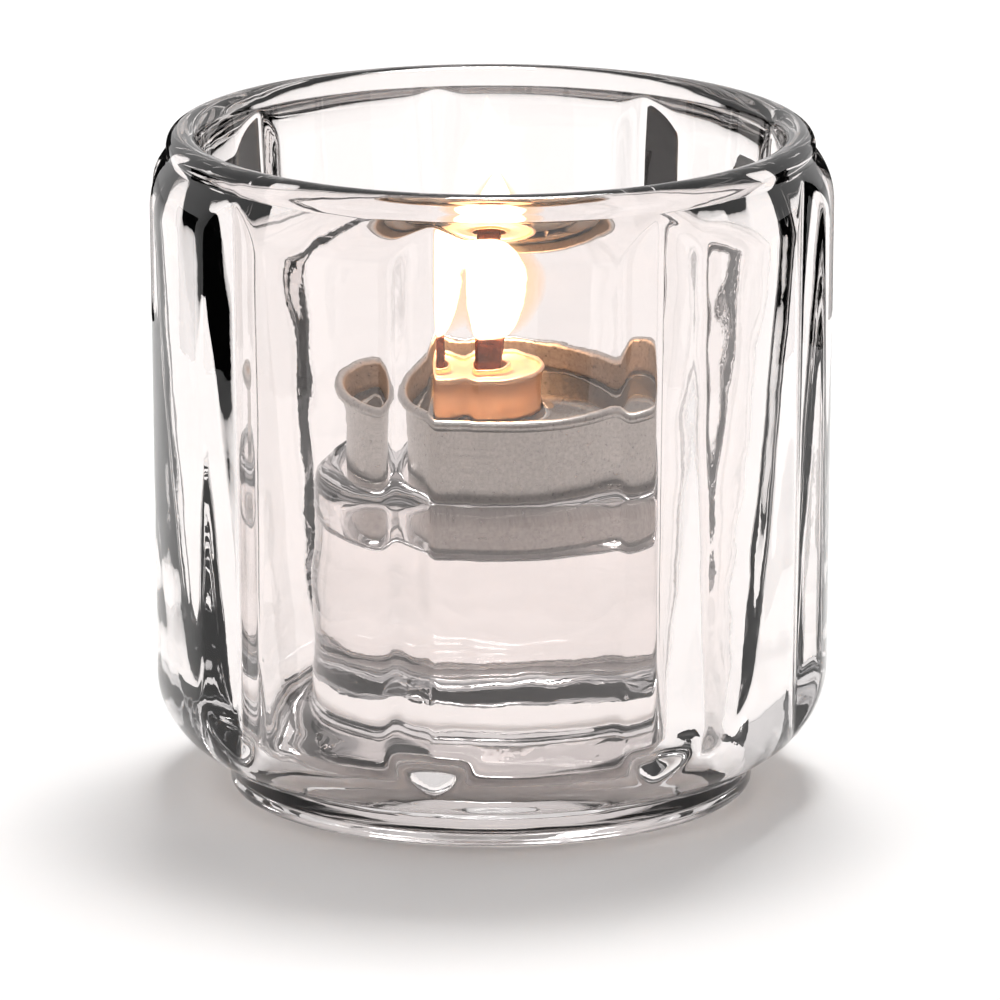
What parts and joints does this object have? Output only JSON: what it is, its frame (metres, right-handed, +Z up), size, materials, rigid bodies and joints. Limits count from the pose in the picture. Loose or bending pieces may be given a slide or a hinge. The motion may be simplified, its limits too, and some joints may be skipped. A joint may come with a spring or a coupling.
{
  "type": "tealight holder",
  "caption": "Round thick pressed-glass tealight holder with vertical V-grooves, a rounded rim and base, and a lift-out tealight seated on a pedestal inside.",
  "frame": {"origin": "centre of the foot, on the surface the holder stands on", "axes": "+Z up along the turning axis, out of the mouth; -X points through the middle of one groove"},
  "size_m": [0.0872, 0.0874, 0.0858],
  "materials": {
    "pressed_glass": "fire-polished, clear",
    "drawn_aluminium": "satin, drawn",
    "tin_plate": "satin, pressed tin plate",
    "charred_cotton": "charred braid",
    "melted_wax": "clear molten paraffin",
    "flame": "candle flame, visual only"
  },
  "bodies": {
    "holder": {"glass_holder": "pressed_glass"},
    "tealight": {"tealight_cup": "drawn_aluminium", "wick_holder": "tin_plate", "wick": "charred_cotton", "wax": "melted_wax"}
  },
  "joints": [
    {"name": "tealight_lift", "type": "slide", "parent": "holder", "child": "tealight", "axis": [0, 0, 1], "range_m": [0, 0.055]}
  ]
}
